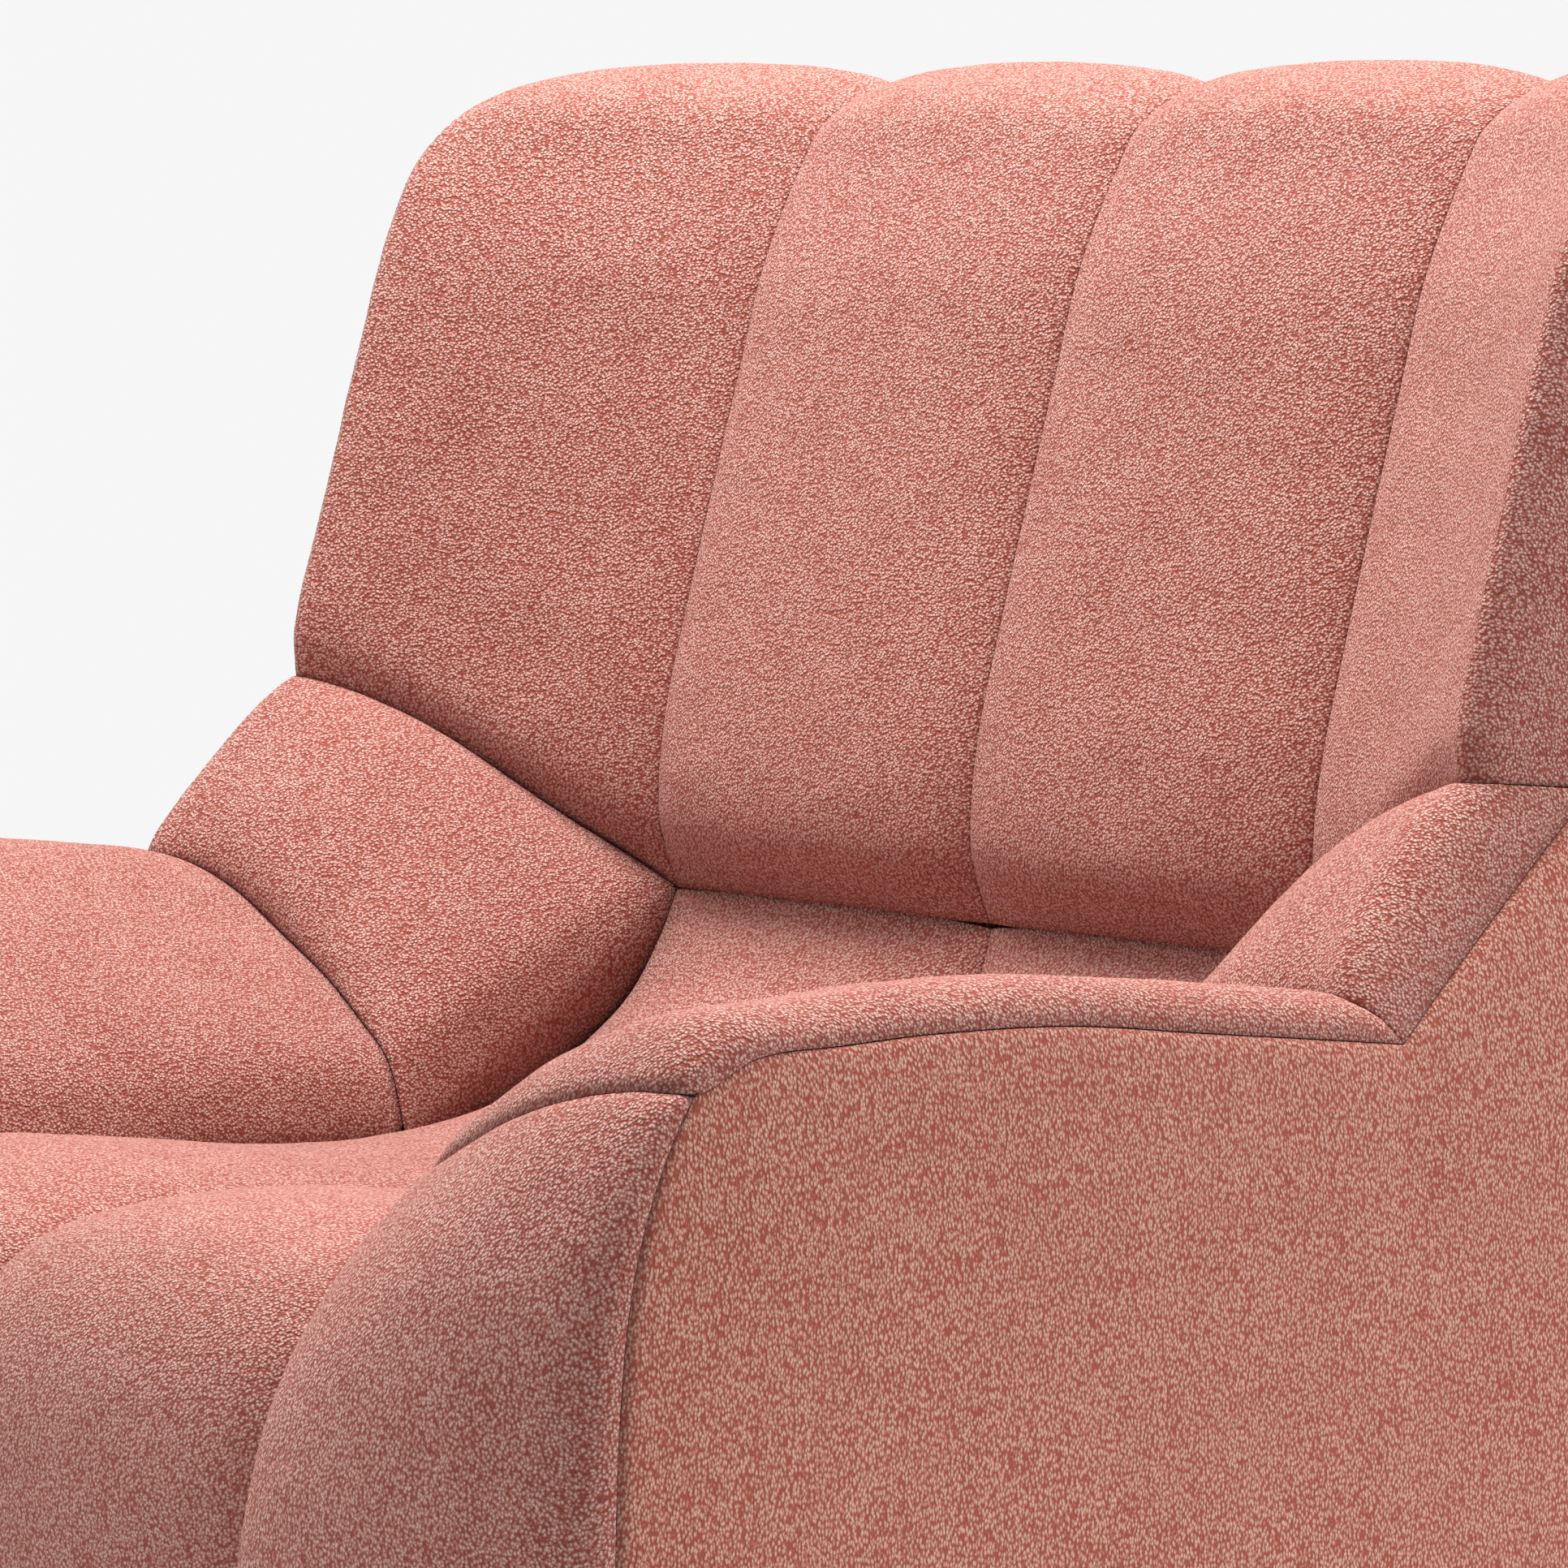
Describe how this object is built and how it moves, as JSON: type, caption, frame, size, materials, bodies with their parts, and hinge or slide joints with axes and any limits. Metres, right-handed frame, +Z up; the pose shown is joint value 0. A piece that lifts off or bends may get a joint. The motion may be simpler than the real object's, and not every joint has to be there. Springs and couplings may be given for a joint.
{
  "type": "glider nursery chair",
  "caption": "Channel-upholstered boucle swivel glider armchair with wing back, padded arms and a hidden round swivel base with a hanging-link glide.",
  "frame": {"origin": "on the floor under the swivel axis", "axes": "+X to the sitter's left, -Y towards the front, +Z up"},
  "size_m": [1.05, 0.9323, 1.008],
  "materials": {
    "boucle": "looped boucle",
    "timber": "sawn, unfinished",
    "zinc": "zinc plated",
    "black_steel": "black powder coat",
    "rubber": "matt",
    "lining": "black nonwoven"
  },
  "bodies": {
    "base": {"floor_ring": "black_steel", "spider": "black_steel", "floor_pad_1": "rubber", "floor_pad_2": "rubber", "floor_pad_3": "rubber", "floor_pad_4": "rubber", "race_lower": "zinc", "ball_cage": "zinc", "king_pin": "zinc"},
    "turntable": {"race_upper": "zinc", "cross_bar_front": "black_steel", "cross_bar_rear": "black_steel", "bracket_left": "black_steel", "bracket_right": "black_steel", "bump_stop_front": "rubber", "bump_stop_rear": "rubber", "pin_upper_front_left": "zinc", "pin_upper_front_right": "zinc", "pin_upper_rear_left": "zinc", "pin_upper_rear_right": "zinc"},
    "yoke_rear_body": {"yoke_rear": "black_steel"},
    "yoke_front_body": {"yoke_front": "black_steel"},
    "seat": {"back_pad_inner_left": "boucle", "back_pad_inner_right": "boucle", "back_pad_outer_left": "boucle", "back_pad_outer_right": "boucle", "arm_pad_left": "boucle", "arm_pad_right": "boucle", "corner_pad_left": "boucle", "corner_pad_right": "boucle", "seat_pad_left": "boucle", "seat_pad_right": "boucle", "arm_facing_left": "boucle", "arm_facing_right": "boucle", "side_panel_left": "boucle", "side_panel_right": "boucle", "back_panel": "boucle", "frame_rail_left": "timber", "frame_rail_right": "timber", "arm_frame_left": "timber", "arm_frame_right": "timber", "back_post_left": "timber", "back_post_right": "timber", "frame_rail_front": "timber", "frame_rail_rear": "timber", "mount_slat_front": "timber", "mount_slat_rear": "timber", "back_rail_top": "timber", "back_rail_middle": "timber", "seat_spring_1": "zinc", "seat_spring_2": "zinc", "seat_spring_3": "zinc", "seat_spring_4": "zinc", "dust_cover": "lining", "glide_rail_left": "black_steel", "glide_rail_right": "black_steel", "pin_lower_front_left": "zinc", "pin_lower_front_right": "zinc", "pin_lower_rear_left": "zinc", "pin_lower_rear_right": "zinc"}
  },
  "joints": [
    {"name": "swivel", "type": "hinge", "parent": "base", "child": "turntable", "pos_m": [0, 0, 0.043], "axis": [0, 0, 1], "continuous": true},
    {"name": "glide", "type": "hinge", "parent": "turntable", "child": "yoke_rear_body", "pos_m": [0, 0.13, 0.235], "axis": [1, 0, 0], "range_deg": [-16, 16]},
    {"name": "front_glide", "type": "hinge", "parent": "turntable", "child": "yoke_front_body", "pos_m": [0, -0.13, 0.235], "axis": [1, 0, 0], "range_deg": [-16, 16]},
    {"name": "seat_hang", "type": "hinge", "parent": "yoke_rear_body", "child": "seat", "pos_m": [0, 0.13, 0.09], "axis": [1, 0, 0], "range_deg": [-16, 16]}
  ],
  "couplings": [
    {"joint": "front_glide", "follows": "glide", "ratio": 1},
    {"joint": "seat_hang", "follows": "glide", "ratio": -1}
  ]
}
